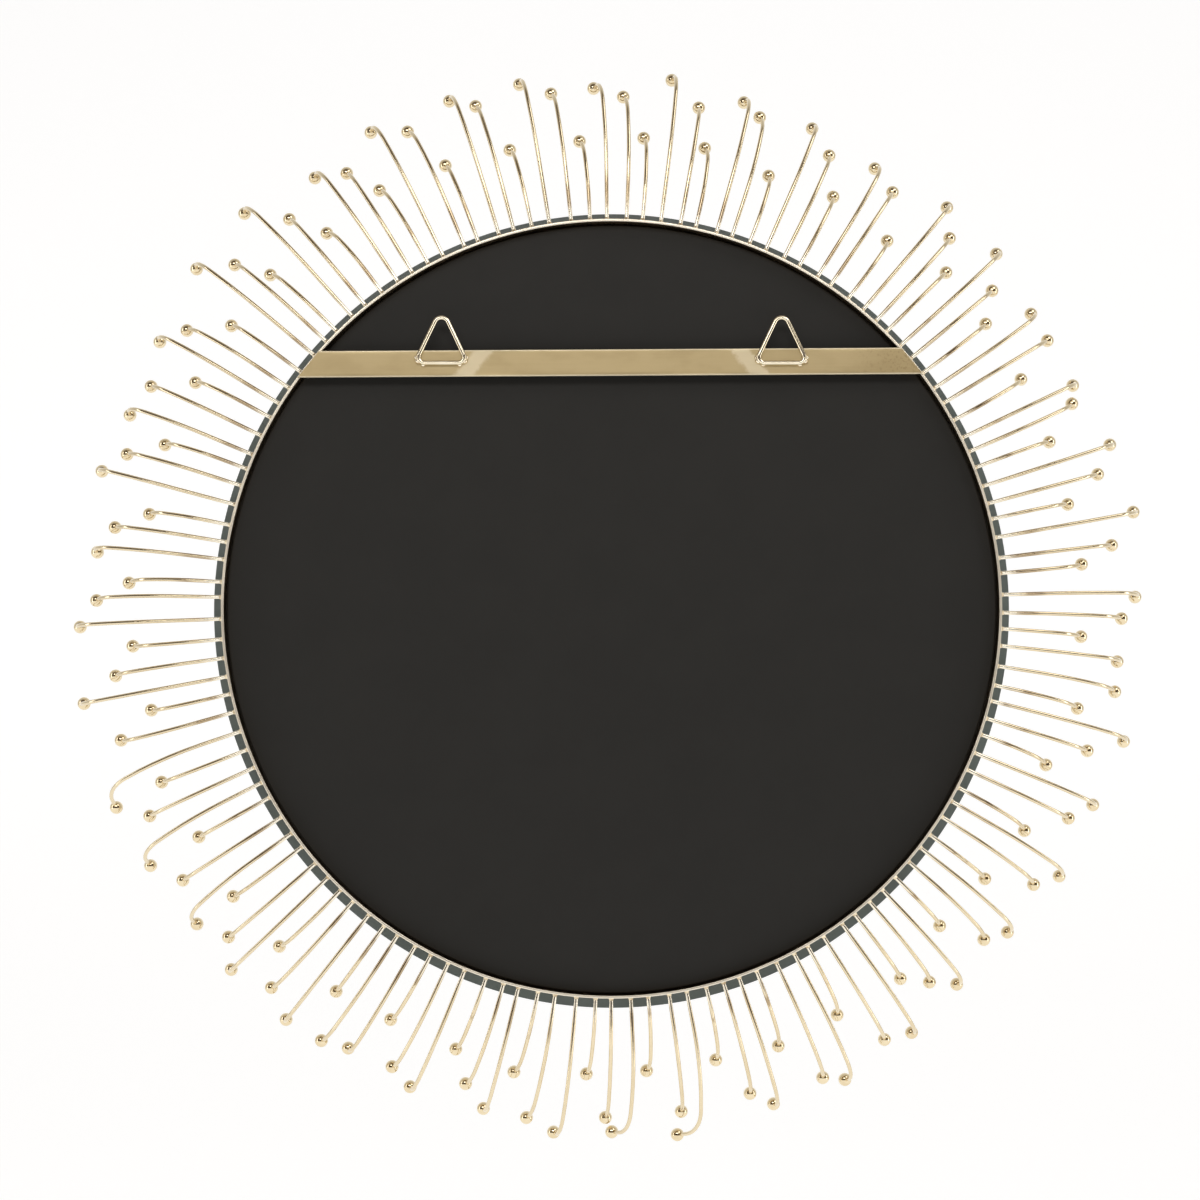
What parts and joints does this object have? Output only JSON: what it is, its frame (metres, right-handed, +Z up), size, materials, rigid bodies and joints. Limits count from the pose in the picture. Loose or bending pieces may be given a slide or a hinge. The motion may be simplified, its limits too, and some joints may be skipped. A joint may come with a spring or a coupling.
{
  "type": "sunburst wall mirror",
  "caption": "Round wall mirror in a flat-bar hoop, ringed by forward-curving gold wires with ball tips, with a rear strap and two triangle hangers.",
  "frame": {"origin": "middle of the pane's front face, on the hoop's axis", "axes": "+Z up, the mirror faces -Y, the wall is at +Y, +X is to the left when seen from behind"},
  "size_m": [0.8117, 0.0566, 0.8119],
  "materials": {
    "plated_bar": "satin champagne-gold plating on rolled flat steel bar",
    "plated_wire": "bright champagne-gold plating on drawn steel wire",
    "polished_ball": "polished gold plating",
    "weld_metal": "plated weld and braze, slightly rough",
    "mirror_glass": "clear float glass, silvered and painted grey-green on the back",
    "dark_board": "fibreboard in matt brown-black lacquer",
    "foam_tape": "closed-cell foam",
    "sealant": "cured black sealant"
  },
  "bodies": {
    "root": {"hoop": "plated_bar", "mirror_glass": "mirror_glass", "backing_panel": "dark_board", "mounting_tape": "foam_tape", "edge_sealant": "sealant", "hanging_strap": "plated_bar", "strap_welds": "weld_metal", "hanger_left": "plated_wire", "hanger_right": "plated_wire", "hanger_beads_left": "weld_metal", "hanger_beads_right": "weld_metal", "wire_collars": "weld_metal", "long_wires_01": "plated_wire", "long_wires_02": "plated_wire", "long_wires_03": "plated_wire", "long_wires_04": "plated_wire", "long_wires_05": "plated_wire", "long_wires_06": "plated_wire", "long_wires_07": "plated_wire", "long_wires_08": "plated_wire", "long_wires_09": "plated_wire", "long_wires_10": "plated_wire", "long_wires_11": "plated_wire", "medium_wires_01": "plated_wire", "medium_wires_02": "plated_wire", "medium_wires_03": "plated_wire", "medium_wires_04": "plated_wire", "medium_wires_05": "plated_wire", "medium_wires_06": "plated_wire", "medium_wires_07": "plated_wire", "medium_wires_08": "plated_wire", "medium_wires_09": "plated_wire", "medium_wires_10": "plated_wire", "medium_wires_11": "plated_wire", "short_wires_01": "plated_wire", "short_wires_02": "plated_wire", "short_wires_03": "plated_wire", "short_wires_04": "plated_wire", "short_wires_05": "plated_wire", "short_wires_06": "plated_wire", "short_wires_07": "plated_wire", "short_wires_08": "plated_wire", "short_wires_09": "plated_wire", "short_wires_10": "plated_wire", "short_wires_11": "plated_wire", "ball_tips_01": "polished_ball", "ball_tips_02": "polished_ball", "ball_tips_03": "polished_ball", "ball_tips_04": "polished_ball", "ball_tips_05": "polished_ball", "ball_tips_06": "polished_ball", "ball_tips_07": "polished_ball", "ball_tips_08": "polished_ball", "ball_tips_09": "polished_ball", "ball_tips_10": "polished_ball", "ball_tips_11": "polished_ball"}
  },
  "joints": []
}
